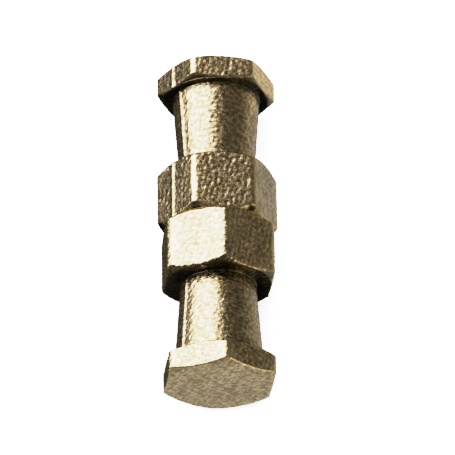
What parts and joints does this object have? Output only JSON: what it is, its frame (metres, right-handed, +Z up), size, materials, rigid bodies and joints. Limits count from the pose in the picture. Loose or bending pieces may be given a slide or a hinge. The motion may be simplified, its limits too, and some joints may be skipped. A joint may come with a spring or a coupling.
{
  "type": "hexagonal joining stud",
  "caption": "Double-ended hexagonal stud: two cast brass halves, collar to collar on a screw pivot, each with a hex collar, a waisted neck and a thin hex head.",
  "frame": {"origin": "on the stud's axis, at the plane where the two collars meet, which is the middle of the whole stud", "axes": "+Y along the stud from the front half, which unscrews, to the rear half, which holds the pivot stud; +Z up from the surface that the stud lies on; +X to the right seen from the front"},
  "size_m": [0.0176, 0.0516, 0.0176],
  "materials": {
    "cast_brass": "rough cast, tumbled and lightly tarnished",
    "steel": "bright zinc plated, thread rolled",
    "bush_steel": "turned",
    "nylon": "moulded",
    "spring_steel": "blackened",
    "washer_steel": "ground"
  },
  "bodies": {
    "rear": {"rear_half": "cast_brass", "pivot_stud": "steel", "stop_ring": "spring_steel"},
    "washer": {"thrust_washer": "washer_steel"},
    "front": {"front_half": "cast_brass", "thread_bush": "bush_steel", "nylon_ring": "nylon"}
  },
  "joints": [
    {"name": "screw_travel", "type": "slide", "parent": "rear", "child": "washer", "axis": [0, -1, 0], "range_m": [0, 0.00187]},
    {"name": "screw_turn", "type": "hinge", "parent": "washer", "child": "front", "pos_m": [0, 0, 0], "axis": [0, -1, 0], "range_deg": [0, 540]}
  ],
  "couplings": [
    {"joint": "screw_turn", "follows": "screw_travel", "rad_per_m": 5026.5}
  ]
}
